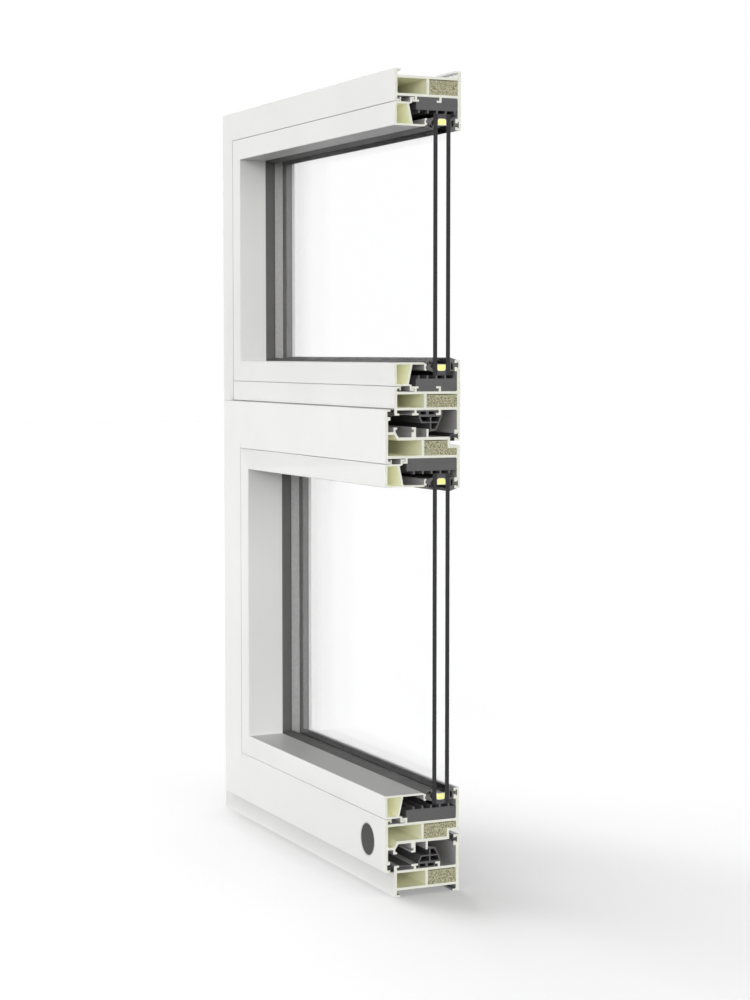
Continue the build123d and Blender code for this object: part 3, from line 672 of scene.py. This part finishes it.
def floor_material():
    """Pale floor that takes the shadow. Soft light passes it from below, except at the object."""
    s = Shader("pale_floor")
    s.material.cycles.emission_sampling = "NONE"
    path = s.node("ShaderNodeLightPath").outputs
    unseen = s.either(path["Is Diffuse Ray"], path["Is Shadow Ray"])
    in_depth = s.between(s.y, FACE_Y, FACE_Y + FRAME_DEPTH)
    beneath = s.both(s.between(s.x, -CUT_X, CUT_X), in_depth)
    unseen = s.both(unseen, s.without(beneath))
    tone = s.tone(s.noise(scale=3.0, detail=3.0), FLOOR_PALE, FLOOR_SHADE)
    # Painted contact shade: the floor darkens near the object, by an occlusion node
    tone = s.mix(s.crowded(FLOOR_REACH, most=FLOOR_NEAR), tone, PAINTED_SHADE)
    matt = s.surface(tone, FLOOR_ROUGH, Specular_IOR_Level=0.0)
    glow = s.node("ShaderNodeEmission", {"Color": FULL_WHITE, "Strength": FLOOR_GLOW}).outputs[0]
    lit = s.node("ShaderNodeAddShader", {0: matt, 1: glow}).outputs[0]
    clear = s.node("ShaderNodeBsdfTransparent").outputs[0]
    return s.done(s.blend(unseen, lit, clear))


floor_mesh.materials.append(floor_material())

# Light from all round, and how softly the bands of light below end above and below
AMBIENT = 0.04
HEIGHT_SOFTNESS = 0.08
# Bands of soft light: azimuth in degrees from the room side towards the cut, cosines from it at
# which the light starts and is full, sines of the lowest and highest elevation, strength
LIGHTS = (
    (-10.0, 0.2, 1.0, -0.05, 0.28, 2.7),
    (-60.0, 0.2, 1.0, -0.05, 0.30, 1.8),
    (80.0, 0.6, 1.0, 0.07, 0.25, 5.6),
    (75.0, 0.5, 1.0, 0.25, 0.60, 0.45),
    (-10.0, 0.2, 1.0, -0.50, -0.10, 0.28),
    (180.0, 0.2, 1.0, -0.45, 0.25, 1.3),
)
# Lamps that only the floor takes, for the object's shadow: direction towards the lamp, its
# angle in degrees, strength
FLOOR_LAMPS = (
    ((-0.8471, -0.1801, 0.5), 50.0, 2.41),
    ((-0.4967, -0.2868, 0.8192), 50.0, 0.43),
)


def world_light():
    """A world that is white to sight, gloss and glass, and lights the object by its bands."""
    world = bpy.data.worlds.new("studio")
    scene.world = world
    world.use_nodes = True
    t = Tree(world.node_tree)

    def soft(value, low, high, end=1.0):
        return t.ramp(value, low, high, end=end, curve="SMOOTHSTEP")

    def background(strength):
        inputs = {"Color": FULL_WHITE, "Strength": strength}
        return t.node("ShaderNodeBackground", inputs).outputs[0]

    place = t.node("ShaderNodeTexCoord").outputs["Generated"]
    height = t.node("ShaderNodeSeparateXYZ", {"Vector": place}).outputs["Z"]
    total = AMBIENT
    for azimuth, start, full, lowest, highest, strength in LIGHTS:
        turn = math.radians(azimuth)
        towards = (math.sin(turn), -math.cos(turn), 0.0)
        near = t.node("ShaderNodeVectorMath", {0: place, 1: towards}, operation="DOT_PRODUCT")
        spread = soft(near.outputs["Value"], start, full, end=strength)
        over = soft(height, lowest - HEIGHT_SOFTNESS, lowest)
        under = soft(height, highest + HEIGHT_SOFTNESS, highest)
        total = t.plus(t.times(spread, t.times(over, under)), total)
    path = t.node("ShaderNodeLightPath").outputs
    seen = t.either(path["Is Camera Ray"], path["Is Glossy Ray"], path["Is Transmission Ray"])
    both = t.blend(seen, background(total), background(1.0))
    t.node("ShaderNodeOutputWorld", {"Surface": both})


world_light()


def aimed(direction):
    """The rotation that turns a lamp or camera to look in a direction."""
    return direction.to_track_quat("-Z", "Y").to_euler()


def floor_lamps():
    """Sun lamps that are linked to the floor alone. The object still stands in their way."""
    takers = bpy.data.collections.new("floor_only")
    takers.objects.link(floor)
    for number, (towards, angle, strength) in enumerate(FLOOR_LAMPS):
        data = bpy.data.lights.new("floor_lamp_%d" % number, "SUN")
        data.energy = strength
        data.angle = math.radians(angle)
        lamp = bpy.data.objects.new(data.name, data)
        scene.collection.objects.link(lamp)
        lamp.rotation_euler = aimed(-Vector(towards))
        lamp.light_linking.receiver_collection = takers


floor_lamps()

# Camera: place in metres, direction of sight, lens and sensor in millimetres
CAMERA_PLACE = (2.19295, -0.94490, 0.55208)
CAMERA_SIGHT = (-0.90726, 0.41491, -0.06882)
CAMERA_LENS = 77.64
CAMERA_SENSOR = 36.0
CAMERA_SHIFT = (-0.0005, 0.0005)
CAMERA_CLIP = (0.05, 100.0)

camera_data = bpy.data.cameras.new("camera")
camera_data.sensor_fit = "AUTO"
camera_data.sensor_width = CAMERA_SENSOR
camera_data.lens = CAMERA_LENS
camera_data.shift_x, camera_data.shift_y = CAMERA_SHIFT
camera_data.clip_start, camera_data.clip_end = CAMERA_CLIP
camera = bpy.data.objects.new("camera", camera_data)
scene.collection.objects.link(camera)
camera.location = CAMERA_PLACE
camera.rotation_euler = aimed(Vector(CAMERA_SIGHT))
scene.camera = camera

scene.view_settings.view_transform = "Standard"
